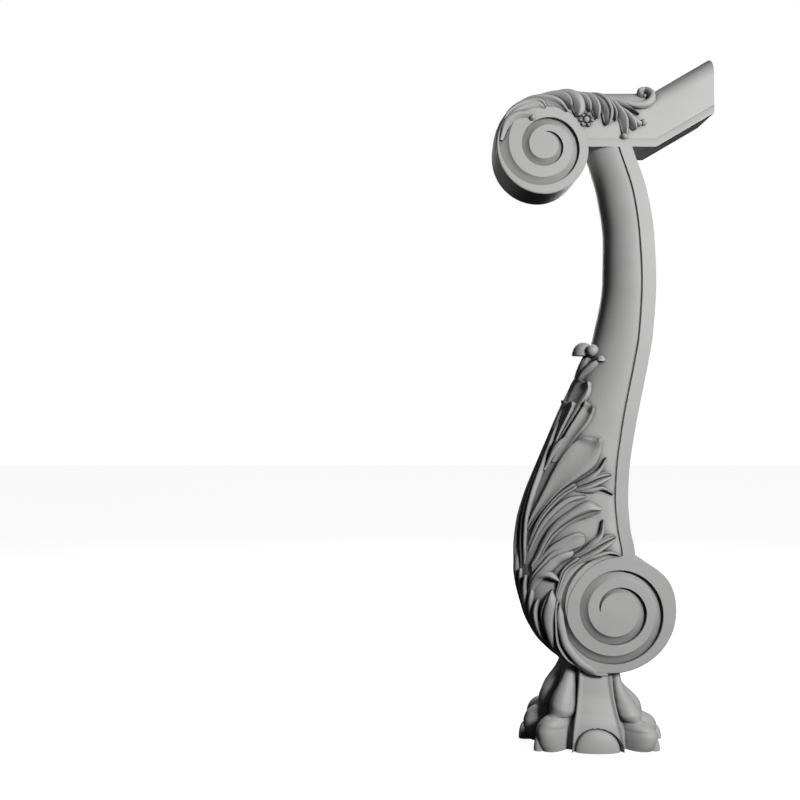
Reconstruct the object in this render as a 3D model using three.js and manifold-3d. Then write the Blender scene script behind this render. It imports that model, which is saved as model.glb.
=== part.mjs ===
// A carved stair starting newel: an S-curved post on a double lion-paw foot, with a scroll low at
// its back and a length of crowned handrail that ends in a second scroll over it.
// Millimetres, +Z up, origin on the floor under the middle of the foot, +X towards the rising rail.
// The two faces mirror each other about Y = 0.
import * as THREE from "three";
import { mergeVertices } from "three/addons/utils/BufferGeometryUtils.js";
import Module from "manifold-3d";

const wasm = await Module();
wasm.setup();

// Driving dimensions
const railUnderside = 870.7;
const railWidth = 80;
const railHeight = 87;
const railCrown = 30;
const railBand = 12.3;
const railBandProud = 1.5;
const railRun = 84.3;
const railSlope = 30.3;
const kneeOut = 88.7;
const topScrollOut = -71.3;
const topScrollUp = 1.6;
const topScrollRadius = 70;
const postWidthTop = 80;
const postWidthBottom = 111.2;
const stripGroove = 2.6;
const lowScrollOut = 25.3;
const lowScrollHeight = 199;
const lowScrollRadius = 88;
const channelDepth = 5.5;
const footSeat = 11;
const footHalfLength = 106;
const footHalfDepth = 68;
const toeRadius = 18;
const leafThickness = 6;
const rootDepth = 5;
const seam = 0.3;

// Heights of the post's outline are given for a rail underside at drawnUnderside, and everything
// above the lower scroll stretches with the real one.
const drawnUnderside = 870.7;
const scrollCrest = lowScrollHeight + 80;
const drawnCrest = 279;
// The foot carries the lower scroll: it reaches footSeat above the scroll's lowest point and is
// hollowed to the scroll's round.
const footHeight = lowScrollHeight - lowScrollRadius + footSeat;
const FULL_TURN = 2 * Math.PI;
const BOTH_FACES = [-1, 1];

// Small helpers: smooth tables, closed skins and solids

// Value of one column at a key, along a table whose rows start with the key in rising order.
// The curve is smooth and never overshoots its rows.
function smoothTable(rows, key, column) {
  const last = rows.length - 1;
  if (key <= rows[0][0]) return rows[0][column];
  if (key >= rows[last][0]) return rows[last][column];
  let i = 0;
  while (key > rows[i + 1][0]) i++;
  const rise = (k) => (rows[k + 1][column] - rows[k][column]) / (rows[k + 1][0] - rows[k][0]);
  const slope = (k) => {
    if (k === 0) return rise(0);
    if (k === last) return rise(last - 1);
    const before = rise(k - 1);
    const after = rise(k);
    return before * after <= 0 ? 0 : (2 * before * after) / (before + after);
  };
  const span = rows[i + 1][0] - rows[i][0];
  const t = (key - rows[i][0]) / span;
  const a = rows[i][column];
  const b = rows[i + 1][column];
  const straight = (b - a) / span;
  const bend = (1 - t) * (slope(i) - straight) - t * (slope(i + 1) - straight);
  return a + (b - a) * t + span * t * (1 - t) * bend;
}

// A closed skin through rings of equal length, with a fan over each end.
function closedSkin(rings) {
  const count = rings[0].length;
  const position = [];
  const index = [];
  rings.forEach((ring) => ring.forEach((p) => position.push(p.x, p.y, p.z)));
  for (let r = 0; r + 1 < rings.length; r++)
    for (let i = 0; i < count; i++) {
      const a = r * count + i;
      const b = r * count + ((i + 1) % count);
      index.push(a, b, b + count, a, b + count, a + count);
    }
  [0, rings.length - 1].forEach((r) => {
    const middle = new THREE.Vector3();
    rings[r].forEach((p) => middle.addScaledVector(p, 1 / count));
    const m = position.length / 3;
    position.push(middle.x, middle.y, middle.z);
    for (let i = 0; i < count; i++) {
      const a = r * count + i;
      const b = r * count + ((i + 1) % count);
      if (r === 0) index.push(m, b, a);
      else index.push(m, a, b);
    }
  });
  const g = new THREE.BufferGeometry();
  g.setAttribute("position", new THREE.Float32BufferAttribute(position, 3));
  g.setIndex(index);
  return g;
}

// The solid inside a closed geometry, whichever way round its faces were listed.
function solid(geometry) {
  const g = geometry.clone();
  g.deleteAttribute("normal");
  g.deleteAttribute("uv");
  const merged = mergeVertices(g, 1e-3);
  const vertProperties = merged.attributes.position.array;
  const make = (triVerts) => new wasm.Manifold(new wasm.Mesh({ numProp: 3, vertProperties, triVerts }));
  const forward = make(new Uint32Array(merged.index.array));
  if (forward.volume() > 0) return forward;
  const turned = new Uint32Array(merged.index.array);
  for (let i = 0; i < turned.length; i += 3)
    [turned[i + 1], turned[i + 2]] = [turned[i + 2], turned[i + 1]];
  return make(turned);
}

function joined(solids) {
  return solids.reduce((whole, piece) => whole.add(piece));
}

// The outer shell of a solid, with any small pocket that its leaves close over filled.
function filled(piece) {
  return piece.decompose().reduce((best, body) => (body.volume() > best.volume() ? body : best));
}

// A solid cut back so that it stays the seam's width below another that stands on it.
function clearOf(piece, other) {
  const grown = other.add(other.translate([0, 0, -seam]));
  return piece.subtract(grown);
}

function meshOf(name, piece, material) {
  const m = piece.getMesh();
  const g = new THREE.BufferGeometry();
  const corners = new Float32Array(m.numVert * 3);
  for (let i = 0; i < m.numVert; i++)
    corners.set(m.vertProperties.subarray(i * m.numProp, i * m.numProp + 3), i * 3);
  g.setAttribute("position", new THREE.BufferAttribute(corners, 3));
  g.setIndex(new THREE.BufferAttribute(new Uint32Array(m.triVerts), 1));
  g.computeVertexNormals();
  const mesh = new THREE.Mesh(g, material);
  mesh.name = name;
  return mesh;
}

function ellipsoid(centre, radii, rows = 6, columns = 9) {
  const g = new THREE.SphereGeometry(1, columns, rows);
  g.scale(...radii);
  g.translate(...centre);
  return solid(g);
}

// Carved leaves

// One leaf lobe laid on a surface. place(a, b) gives the point and outward direction on it; route is
// the lobe's middle line in the surface's own coordinates, from root to tip. The section is a low
// cushion, hollowed along its middle by cup, and the tip may lift off the ground by lift.
function lobe(place, route, look) {
  const { width, root = 0.35, thick = leafThickness, cup = 0, lift = 0, steps = 4, roundFrom = 0.6 } = look;
  const line = new THREE.SplineCurve(route.map(([a, b]) => new THREE.Vector2(a, b)));
  const at = (t) => {
    const p = line.getPoint(Math.min(1, Math.max(0, t)));
    return place(p.x, p.y);
  };
  const rings = [];
  for (let k = 0; k <= steps; k++) {
    const t = k / steps;
    const here = at(t);
    const along = at(t + 0.03).point.clone().sub(at(t - 0.03).point).normalize();
    const across = new THREE.Vector3().crossVectors(along, here.out).normalize();
    const beyond = Math.max(0, (t - roundFrom) / (1 - roundFrom));
    const opened = root + (1 - root) * Math.sin((Math.min(1, t / roundFrom) * Math.PI) / 2);
    const half = (width / 2) * opened * Math.sqrt(1 - 0.94 * beyond * beyond);
    const high = thick * (0.55 + 0.45 * t);
    const raised = lift * t * t * t;
    const cushion = [[-0.4, high], [0.4, high]];
    const hollow = [[-0.55, high], [0, high * (1 - cup)], [0.55, high]];
    const crown = cup > 0 ? hollow : cushion;
    const section = [[-1, -rootDepth], [-1, 0.2 * high], ...crown, [1, 0.2 * high], [1, -rootDepth]];
    rings.push(
      section.map(([side, up]) =>
        here.point.clone().addScaledVector(across, side * half).addScaledVector(here.out, up + raised),
      ),
    );
  }
  return solid(closedSkin(rings));
}

// The same lobes on both faces.
function onBothFaces(makeOne) {
  return BOTH_FACES.flatMap((face) => makeOne(face));
}

// A flower of round petals about a button.
function flower(place, [a, b], radius, petals) {
  const out = [];
  for (let k = 0; k < petals; k++) {
    const turn = (k / petals) * FULL_TURN;
    const tip = [a + radius * Math.cos(turn), b + radius * Math.sin(turn)];
    const petal = { width: radius * 0.95, root: 0.5, thick: 5, cup: 0.25, steps: 2, roundFrom: 0.5 };
    out.push(lobe(place, [[a, b], tip], petal));
  }
  const middle = place(a, b);
  out.push(ellipsoid(middle.point.clone().addScaledVector(middle.out, 2).toArray(), [4, 4.5, 4], 5, 7));
  return out;
}

// Spiral channel sunk in a scroll's face

// A channel with sloping walls whose outer edge is a spiral about centre, growing clockwise as seen
// from the near face. Turns count from the top of the scroll.
function spiralChannel(centre, face, faceOut, look) {
  const { start, growth, turns, from, breadth, taper, floorAt } = look;
  const steps = Math.round(16 * turns);
  const rings = [];
  for (let k = 0; k <= steps; k++) {
    const turn = (k / steps) * turns;
    const angle = Math.PI / 2 - (turn + from) * FULL_TURN;
    const outer = start * growth ** turn;
    const grow = Math.min(1, (turn + 0.04) / taper);
    const inner = outer - breadth * grow;
    const low = inner + (outer - inner) * floorAt(angle);
    const floor = faceOut - channelDepth * grow;
    const edges = [[inner, faceOut + 1], [low, floor], [outer, faceOut + 1]];
    rings.push(edges.map(([radius, y]) => {
      const x = centre.x + radius * Math.cos(angle);
      return new THREE.Vector3(x, face * y, centre.z + radius * Math.sin(angle));
    }));
  }
  return solid(closedSkin(rings));
}

// The disc of a scroll, from its outline given as radii by angle in degrees.
function scrollDisc(centre, halfWidth, radiusAt, segments = 36) {
  const ring = (y) => {
    const points = [];
    for (let k = 0; k < segments; k++) {
      const degrees = (k / segments) * 360;
      const angle = (degrees / 360) * FULL_TURN;
      const radius = radiusAt(degrees);
      const x = centre.x + radius * Math.cos(angle);
      points.push(new THREE.Vector3(x, y, centre.z + radius * Math.sin(angle)));
    }
    return points;
  };
  return solid(closedSkin([ring(-halfWidth), ring(halfWidth)]));
}

// Handrail with its top scroll

const topCentre = { x: topScrollOut, z: railUnderside + topScrollUp };
const railTop = railUnderside + railHeight;
const railBody = railWidth / 2 - railBandProud;

// Radius of the scroll's raised face, by angle in degrees from +X, as a share of the scroll's radius.
const topDiscShares = [
  [0, 0.88],
  [45, 0.86],
  [90, 0.82],
  [120, 0.95],
  [150, 1.03],
  [180, 1.02],
  [225, 1.01],
  [270, 1],
  [315, 0.94],
  [360, 0.88],
];
function topDiscRadius(degrees) {
  return topScrollRadius * smoothTable(topDiscShares, degrees, 1);
}

// The crowned back of the scroll, from over its eye round to its outer side.
const topBackShares = [
  [90, 1.222],
  [105, 1.175],
  [127, 1.135],
  [143, 1.107],
  [180, 1.03],
  [200, 1],
];
function topBackRadius(degrees) {
  const meets = (railTop - topCentre.z) / topScrollRadius / topBackShares[0][1];
  const near = Math.max(0, (143 - degrees) / 53);
  return topScrollRadius * smoothTable(topBackShares, degrees, 1) * (1 + (meets - 1) * near * near);
}

// Height of the rail's crest above its underside, over the length X: level, with a low swell where
// the leaf starts, then rising past the knee.
const swell = 4.5;
function crestAt(x) {
  const along = (x - topCentre.x) / (0 - topCentre.x);
  const hump = along > 0 && along < 1 ? swell * Math.sin(along * Math.PI) : 0;
  return railTop + hump + riseAt(x);
}
function riseAt(x) {
  return x > kneeOut ? (x - kneeOut) * Math.tan((railSlope * Math.PI) / 180) : 0;
}

// Crown's outline: how far out the side is at a depth below the crest.
function crownedSide(depth, crown, half) {
  if (depth >= crown) return half;
  const share = 1 - Math.max(0, depth) / crown;
  return half * Math.sqrt(Math.max(0, 1 - share * share));
}

// Crown height round the back of the scroll: full over the eye and flat at its outer side.
function crownRound(degrees) {
  return Math.max(1, railCrown * Math.min(1, (178 - degrees) / 88));
}

// Where the carving of the top stands, given a place on the side view.
function topPlace(face) {
  const sideAt = (x, z) => {
    if (x > topCentre.x) return crownedSide(crestAt(x) - z, railCrown, railBody);
    const dx = x - topCentre.x;
    const dz = z - topCentre.z;
    const degrees = (Math.atan2(dz, dx) * 180) / Math.PI;
    return crownedSide(topBackRadius(degrees) - Math.hypot(dx, dz), crownRound(degrees), railBody);
  };
  return (x, z) => {
    const y = sideAt(x, z);
    const reach = 1.5;
    const out = new THREE.Vector3(
      -(sideAt(x + reach, z) - sideAt(x - reach, z)) / (2 * reach),
      1,
      -(sideAt(x, z + reach) - sideAt(x, z - reach)) / (2 * reach),
    ).normalize();
    return { point: new THREE.Vector3(x, face * y, z), out: new THREE.Vector3(out.x, face * out.y, out.z) };
  };
}

// One section of the rail in the plane across it at x: a moulded band low down, and a crown.
function railSection(x) {
  const low = railUnderside + riseAt(x);
  const high = crestAt(x);
  const out = railWidth / 2;
  const half = [
    [out, 0],
    [out, railBand - 2.5],
    [railBody, railBand],
  ];
  const arcSteps = 5;
  for (let k = 0; k < arcSteps; k++) {
    const angle = (k / arcSteps) * (Math.PI / 2);
    half.push([railBody * Math.cos(angle), high - low - railCrown + railCrown * Math.sin(angle)]);
  }
  const points = half.map(([y, z]) => new THREE.Vector3(x, -y, low + z));
  points.push(new THREE.Vector3(x, 0, high));
  [...half].reverse().forEach(([y, z]) => points.push(new THREE.Vector3(x, y, low + z)));
  return points;
}

function crownedBack() {
  const rings = [];
  for (let degrees = 200; degrees >= 90; degrees -= 10) {
    const angle = (degrees / 360) * FULL_TURN;
    const radius = topBackRadius(degrees);
    const crown = crownRound(degrees);
    const section = [[railBody, 12]];
    for (let k = 0; k < 6; k++) {
      const turn = (k / 6) * (Math.PI / 2);
      section.push([railBody * Math.cos(turn), radius - crown + crown * Math.sin(turn)]);
    }
    const point = ([y, r], side) =>
      new THREE.Vector3(topCentre.x + r * Math.cos(angle), side * y, topCentre.z + r * Math.sin(angle));
    const ring = section.map((p) => point(p, -1));
    ring.push(point([0, radius], 1));
    [...section].reverse().forEach((p) => ring.push(point(p, 1)));
    rings.push(ring);
  }
  return solid(closedSkin(rings));
}

function handrailVolute() {
  const stations = [topCentre.x - 2, -58, -45, -30, -15, 0, kneeOut - 0.1, kneeOut, kneeOut + railRun];
  const rail = solid(closedSkin(stations.map(railSection)));
  const disc = scrollDisc(topCentre, railWidth / 2, topDiscRadius);
  const leaf = onBothFaces((face) => topCarving(topPlace(face)));
  const channels = BOTH_FACES.map((face) =>
    spiralChannel(topCentre, face, railWidth / 2, {
      start: topScrollRadius * 0.303,
      growth: 1.94,
      turns: 1.82,
      from: 0,
      breadth: topScrollRadius * 0.17,
      taper: 0.5,
      floorAt: (angle) => 0.5 + 0.4 * Math.cos(angle - Math.PI / 4),
    }),
  );
  let body = joined([rail, crownedBack(), disc]);
  channels.forEach((channel) => {
    body = body.subtract(channel);
  });
  return filled(joined([body, ...leaf]));
}

// The acanthus that runs from the outer side of the scroll over its top to the knee. Routes are in
// millimetres on the side view: X from the foot's middle, Z above the rail's underside.
function topCarving(placeAt) {
  const place = (x, z) => placeAt(x, z + railUnderside);
  const lobes = [
    [[[-139, 8], [-129, 33], [-115, 44], [-100, 46], [-92, 41]], { width: 10, cup: 0.3, lift: 3 }],
    [[[-135, 30], [-120, 50], [-99, 61], [-80, 61], [-70, 54]], { width: 14, cup: 0.4, lift: 3 }],
    [[[-120, 56], [-94, 69], [-68, 71], [-49, 61], [-41, 49]], { width: 11, cup: 0.4, lift: 3 }],
    [
      [[-67, 76], [-43, 77], [-29, 67], [-24, 57], [-26, 46]],
      { width: 17, thick: 8, cup: 0.1, lift: 4 },
    ],
    [[[-33, 78], [-17, 69], [-9, 60], [-7, 51]], { width: 8 }],
    [[[-24, 78], [-7, 69], [3, 57], [4, 41]], { width: 10, thick: 8, lift: 3 }],
    [[[-12, 77], [5, 69], [17, 55], [18, 33]], { width: 13, thick: 8, cup: 0.15, lift: 4 }],
    [[[5, 74], [19, 64], [28, 52], [30, 38]], { width: 7, thick: 7 }],
    [[[14, 71], [30, 58], [42, 39], [43, 16]], { width: 9, cup: 0.3, lift: 3 }],
    [[[25, 62], [39, 51], [51, 38], [58, 24]], { width: 9, cup: 0.3, lift: 3 }],
    [[[39, 51], [54, 39], [64, 31], [71, 35]], { width: 7, thick: 7 }],
    [[[19, 66], [36, 60], [51, 53], [63, 46]], { width: 8, root: 0.8, roundFrom: 0.3 }],
    [
      [[3, 76], [29, 68], [58, 61], [76, 63], [84, 74], [77, 83], [68, 78], [71, 72]],
      { width: 8, root: 0.6, thick: 8, steps: 10, roundFrom: 0.85 },
    ],
  ];
  return [...lobes.map(([route, look]) => lobe(place, route, look)), ...flower(place, [-13, 39], 11, 6)];
}

// Post with its lower scroll

const lowCentre = { x: lowScrollOut, z: lowScrollHeight };

// The post's side view by height: back edge, groove line beside the back strip, and front under the
// leaf. Its foot end is hidden in the lower scroll.
const postRows = [
  [108, 15, 4, -22],
  [130, 15, -22, -55],
  [160, 15, -38, -80],
  [200, 20, -36, -97],
  [250, 40, -5, -106],
  [280, 54.5, 35, -106],
  [320, 47.7, 28.8, -102],
  [360, 44.9, 25.6, -91],
  [400, 46.6, 27.4, -75],
  [440, 51.9, 32.4, -58],
  [480, 59.2, 38.8, -41],
  [520, 67.4, 46.8, -22],
  [560, 75.5, 55, -6],
  [600, 82.2, 61.8, 5.8],
  [680, 87.5, 66.4, 19.4],
  [740, 85.2, 63.7, 20],
  [800, 76.6, 55.7, 12.4],
  [870.7, 54, 34, -7],
];
const BACK = 1;
const GROOVE = 2;
const FRONT = 3;
const roundness = 2.1;

// Real height of a drawn one.
function postHeight(drawn) {
  if (drawn <= drawnCrest) return lowScrollHeight + (drawn - 199);
  const stretch = (railUnderside - scrollCrest) / (drawnUnderside - drawnCrest);
  return scrollCrest + (drawn - drawnCrest) * stretch;
}
function postHalfWidth(drawn) {
  const share = Math.min(1, Math.max(0, (drawnUnderside - drawn) / (drawnUnderside - drawnCrest)));
  return (postWidthTop + (postWidthBottom - postWidthTop) * share) / 2;
}

// A place on the post's side and front: drawn height, and 0 at the groove to 1 on the front line.
function postPoint(face, drawn, round) {
  const angle = (Math.min(1, Math.max(0, round)) * Math.PI) / 2;
  const groove = smoothTable(postRows, drawn, GROOVE);
  const front = smoothTable(postRows, drawn, FRONT);
  const x = groove - (groove - front) * Math.sin(angle) ** (2 / roundness);
  const y = postHalfWidth(drawn) * Math.cos(angle) ** (2 / roundness);
  return new THREE.Vector3(x, face * y, postHeight(drawn));
}
function postPlace(face) {
  return (drawn, round) => {
    const point = postPoint(face, drawn, round);
    const up = postPoint(face, drawn + 3, round).sub(postPoint(face, drawn - 3, round));
    const inner = Math.max(0.01, round - 0.03);
    const outer = Math.min(0.99, round + 0.03);
    const forward = postPoint(face, drawn, outer).sub(postPoint(face, drawn, inner));
    const out = new THREE.Vector3().crossVectors(up, forward).normalize().multiplyScalar(-face);
    return { point, out };
  };
}

function postShaft() {
  const inScroll = [108, 119, 132, 148, 168, 195, 225, 250, 267];
  const above = [285, 310, 340, 375, 410, 450, 490, 530, 570, 620, 670, 720, 770, 820, 873];
  const turns = [0.03, 0.22, 0.41, 0.6, 0.8];
  const rings = [...inScroll, ...above].map((drawn) => {
    const z = postHeight(drawn);
    const half = postHalfWidth(drawn);
    const back = smoothTable(postRows, drawn, BACK);
    const groove = smoothTable(postRows, drawn, GROOVE);
    const cut = drawn > drawnCrest - 20 ? stripGroove : 0.2;
    const side = (face) => [
      new THREE.Vector3(back, face * half, z),
      new THREE.Vector3(groove + cut * 0.7, face * half, z),
      new THREE.Vector3(groove, face * (half - cut), z),
      ...turns.map((turn) => postPoint(face, drawn, turn)),
    ];
    return [...side(-1), postPoint(1, drawn, 1), ...side(1).reverse()];
  });
  return solid(closedSkin(rings));
}

// Radius of the lower scroll by angle in degrees from +X, as a share of its radius.
const lowDiscShares = [
  [0, 1],
  [25, 1.015],
  [56, 0.955],
  [92, 0.9],
  [120, 0.83],
  [150, 0.79],
  [180, 0.79],
  [215, 0.93],
  [240, 1.05],
  [268, 1],
  [300, 0.98],
  [330, 0.99],
  [360, 1],
];
function lowDiscRadius(degrees) {
  return lowScrollRadius * smoothTable(lowDiscShares, degrees, 1);
}

function scrollPost(rail) {
  const half = postWidthBottom / 2 + 0.6;
  const disc = scrollDisc(lowCentre, half, lowDiscRadius);
  let body = joined([postShaft(), disc]);
  BOTH_FACES.forEach((face) => {
    body = body.subtract(
      spiralChannel({ x: lowCentre.x + 2.4, z: lowCentre.z }, face, half, {
        start: lowScrollRadius * 0.355,
        growth: 1.66,
        turns: 1.95,
        from: 0.75,
        breadth: lowScrollRadius * 0.14,
        taper: 0.35,
        floorAt: (angle) => 0.5 - 0.4 * Math.cos(angle - (3 * Math.PI) / 4),
      }),
    );
  });
  const leaf = onBothFaces((face) => postCarving(postPlace(face)));
  const middle = frontCarving(postPlace(-1));
  return filled(clearOf(joined([body, ...leaf, ...middle]), rail));
}

// Leaf over the post's flanks, up from the lower scroll. Routes run in drawn height and the share
// from groove to front.
function postCarving(place) {
  const lobes = [
    [[[437, 0.88], [481, 0.83], [509, 0.74], [527, 0.56]], { width: 20, cup: 0.35, lift: 4 }],
    [[[399, 0.95], [456, 0.95], [486, 0.84], [501, 0.7]], { width: 15, cup: 0.35, lift: 4 }],
    [[[412, 0.79], [450, 0.67], [476, 0.53], [497, 0.4]], { width: 22, cup: 0.35, lift: 4 }],
    [[[400, 0.79], [433, 0.7], [450, 0.59]], { width: 8 }],
    [
      [[315, 0.79], [360, 0.67], [400, 0.5], [428, 0.26]],
      { width: 48, thick: 9, cup: 0.5, lift: 6, roundFrom: 0.85 },
    ],
    [[[291, 0.73], [334, 0.59], [361, 0.45], [379, 0.31]], { width: 9, thick: 7 }],
    [[[372, 0.36], [397, 0.2], [421, 0.11]], { width: 9, root: 0.8, roundFrom: 0.3 }],
    [[[376, 0.36], [388, 0.17], [396, 0.05]], { width: 15, thick: 9, root: 0.7 }],
    [[[374, 0.34], [375, 0.15], [368, 0.03]], { width: 8, root: 0.8, roundFrom: 0.3 }],
    [[[280, 0.73], [326, 0.56], [353, 0.39], [365, 0.22]], { width: 9 }],
    [
      [[255, 0.69], [303, 0.53], [333, 0.32], [347, 0.1]],
      { width: 29, thick: 11, cup: 0.25, lift: 3, roundFrom: 0.75 },
    ],
    [
      [[248, 0.6], [282, 0.49], [300, 0.34], [309, 0.21]],
      { width: 20, thick: 7, roundFrom: 0.75 },
    ],
    [
      [[223, 0.65], [258, 0.49], [276, 0.42], [286, 0.3]],
      { width: 20, thick: 10, roundFrom: 0.75 },
    ],
    [[[232, 0.3], [253, 0.31], [269, 0.31], [282, 0.27]], { width: 9, thick: 8 }],
    [[[276, 0.3], [299, 0.16], [333, 0.09]], { width: 9, root: 0.8, roundFrom: 0.3 }],
    [[[280, 0.3], [295, 0.14], [310, 0.04]], { width: 16, thick: 9, root: 0.7 }],
    [[[226, 0.62], [246, 0.47], [240, 0.28]], { width: 12, thick: 9 }],
    [[[121, 0.47], [157, 0.4], [193, 0.41], [229, 0.35]], { width: 20, thick: 9, roundFrom: 0.7 }],
    [[[127, 0.66], [160, 0.65], [197, 0.64], [229, 0.6]], { width: 14, thick: 7, roundFrom: 0.7 }],
    [[[501, 0.97], [531, 0.95], [553, 0.86], [570, 0.8]], { width: 8, root: 0.9, thick: 7 }],
    [[[506, 0.92], [536, 0.82], [551, 0.66], [560, 0.55]], { width: 8, root: 0.8, thick: 7 }],
  ];
  const ball = place(576, 0.82);
  const curl = place(559, 0.55);
  return [
    ...lobes.map(([route, look]) => lobe(place, route, look)),
    ellipsoid(ball.point.clone().addScaledVector(ball.out, 4).toArray(), [9, 9, 8.5], 6, 8),
    ellipsoid(curl.point.clone().addScaledVector(curl.out, 3).toArray(), [7, 7, 6], 5, 7),
  ];
}

// The leaf's middle rib up the front, the small tip low on it, and the curled head at its top.
function frontCarving(place) {
  const ribRoute = [[130, 1], [190, 1], [300, 1], [420, 1], [556, 1]];
  const rib = lobe(place, ribRoute, { width: 16, root: 0.6, thick: 7, steps: 8, roundFrom: 0.9 });
  const tip = lobe(place, [[296, 1], [262, 1], [234, 1]], { width: 22, thick: 8, lift: 1 });
  const head = place(571, 1);
  const curled = head.point.clone().addScaledVector(head.out, 7).toArray();
  const dome = ellipsoid(curled, [17, 19, 20], 10, 14).trimByPlane([0, 0, 1], head.point.z - 3);
  return [rib, tip, dome];
}

// Lion-paw foot

// The neck and core by height, as a share of the foot's: half length along X and half depth along
// Y, each as a share of the foot's own.
const coreRows = [
  [0, 0.6, 0.79],
  [0.16, 0.6, 0.8],
  [0.4, 0.54, 0.73],
  [0.62, 0.46, 0.63],
  [0.8, 0.4, 0.55],
  [1, 0.39, 0.52],
];
const cornerRound = 3;

function pawCore() {
  const shares = [0, 0.16, 0.4, 0.62, 0.8, 1];
  const swing = (v) => Math.sign(v) * Math.abs(v) ** (2 / cornerRound);
  const rings = shares.map((share) => {
    const length = footHalfLength * smoothTable(coreRows, share, 1);
    const depth = footHalfDepth * smoothTable(coreRows, share, 2);
    const points = [];
    for (let k = 0; k < 20; k++) {
      const angle = (k / 20) * FULL_TURN;
      const x = length * swing(Math.cos(angle));
      const y = depth * swing(Math.sin(angle));
      points.push(new THREE.Vector3(x, y, share * footHeight));
    }
    return points;
  });
  return solid(closedSkin(rings));
}

// The flared panel between two ribs on one face, from the neck down to the floor.
function pawPanel(face) {
  const rows = [
    [0, 0.31, 0.9],
    [0.16, 0.3, 0.9],
    [0.3, 0.28, 0.87],
    [0.46, 0.24, 0.78],
    [0.68, 0.2, 0.66],
    [1, 0.165, 0.57],
  ];
  const rib = 4;
  const rings = rows.map(([share, widthShare, outShare]) => {
    const half = footHalfLength * widthShare;
    const out = footHalfDepth * outShare;
    return [
      [-half - rib, -20],
      [-half - rib, 0],
      [-half - rib / 2, 2.4],
      [-half, 0],
      [0, 2],
      [half, 0],
      [half + rib / 2, 2.4],
      [half + rib, 0],
      [half + rib, -20],
    ].map(([x, y]) => new THREE.Vector3(x, face * (out + y), share * footHeight));
  });
  return solid(closedSkin(rings));
}

// The arched end of a panel, cut away as a tunnel into its face.
function pawArch(face) {
  const tunnel = new THREE.CylinderGeometry(1, 1, footHalfDepth * 0.5, 20);
  tunnel.scale(footHalfLength * 0.335, 1, footHeight * 0.295);
  tunnel.translate(0, face * footHalfDepth * 0.85, 0);
  return solid(tunnel);
}

// One toe on the floor: knuckle, pad and claw. Each has its place along X and Y as shares of the
// foot's half length and half depth; swell is how deep the toe is along Y.
function toe(end, face, { knuckle, pad, claw, swell }) {
  const spot = ([x, y], z) => [end * footHalfLength * x, face * footHalfDepth * y, z];
  return [
    ellipsoid(spot(knuckle, footHeight * 0.42), [footHalfLength * 0.225, swell, footHeight * 0.25], 7, 10),
    ellipsoid(spot(pad, footHeight * 0.195), [footHalfLength * 0.22, swell, footHeight * 0.21], 7, 10),
    ellipsoid(spot(claw, 0), [footHalfLength * 0.066, swell * 0.35, footHeight * 0.17], 6, 7),
  ];
}

const cornerToe = { knuckle: [0.43, 0.55], pad: [0.64, 0.68], claw: [0.79, 0.75], swell: toeRadius };
const sideToe = { knuckle: [0.49, 0], pad: [0.7, 0], claw: [0.935, 0], swell: toeRadius * 1.08 };

function pawFoot(post) {
  let leg = pawCore();
  const toes = [];
  BOTH_FACES.forEach((face) => {
    leg = leg.add(pawPanel(face)).subtract(pawArch(face));
    const lobeMiddle = [0, face * footHalfDepth * 0.53, footHeight * 0.033];
    const lobeRadii = [footHalfLength * 0.325, footHalfDepth * 0.47, footHeight * 0.255];
    toes.push(ellipsoid(lobeMiddle, lobeRadii, 6, 12));
    BOTH_FACES.forEach((end) => toes.push(...toe(end, face, cornerToe)));
  });
  BOTH_FACES.forEach((end) => toes.push(...toe(end, 1, sideToe)));
  const block = new THREE.BoxGeometry(3 * footHalfLength, 3 * footHalfDepth, footHeight);
  block.translate(0, 0, footHeight / 2);
  return filled(clearOf(joined([leg, ...toes]).intersect(solid(block)), post));
}

// The three pieces, each carved from one block

const paint = { color: 0xb9b9b7, roughness: 0.5, metalness: 0 };
const rail = handrailVolute();
const post = scrollPost(rail);
const foot = pawFoot(post);

const newel = new THREE.Group();
newel.add(meshOf("handrail_volute", rail, new THREE.MeshStandardMaterial(paint)));
newel.add(meshOf("scroll_post", post, new THREE.MeshStandardMaterial(paint)));
newel.add(meshOf("paw_foot", foot, new THREE.MeshStandardMaterial(paint)));

export default newel;
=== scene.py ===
# A carved stair starting newel in painted timber: an S-curved post with a low scroll and acanthus up its
# front, a crowned handrail that ends in a second scroll over it, and a lion-paw foot. Metres, +Z up.
import math

import bmesh
import bpy
import numpy as np
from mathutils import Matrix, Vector


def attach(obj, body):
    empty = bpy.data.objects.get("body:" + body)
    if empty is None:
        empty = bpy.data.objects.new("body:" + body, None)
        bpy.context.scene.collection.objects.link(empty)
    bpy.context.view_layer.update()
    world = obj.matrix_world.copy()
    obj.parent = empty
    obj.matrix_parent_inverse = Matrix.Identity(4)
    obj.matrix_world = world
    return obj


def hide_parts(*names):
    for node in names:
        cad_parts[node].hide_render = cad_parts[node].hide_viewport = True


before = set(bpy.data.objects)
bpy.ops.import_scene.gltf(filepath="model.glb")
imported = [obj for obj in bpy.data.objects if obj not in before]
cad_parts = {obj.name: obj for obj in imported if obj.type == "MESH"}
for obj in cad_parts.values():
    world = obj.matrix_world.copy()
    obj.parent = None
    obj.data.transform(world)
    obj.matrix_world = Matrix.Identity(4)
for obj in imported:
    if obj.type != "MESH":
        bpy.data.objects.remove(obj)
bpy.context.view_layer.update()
scene = bpy.context.scene

# Camera, light and floor
# The photograph looks level and square on to the carved face. The key lamp stands in front on the rail
# side, at about the rail's height; one lamp lights the back, and a faint one the scrolls' side.
camera = bpy.data.objects.new("camera", bpy.data.cameras.new("camera"))
scene.collection.objects.link(camera)
camera.location = (-0.283, -1.434, 0.5033)
camera.rotation_euler = (math.pi / 2, 0, 0)
camera.data.sensor_width = 36
camera.data.lens = 43.27
scene.camera = camera
scene.view_settings.view_transform = "Standard"


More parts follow.
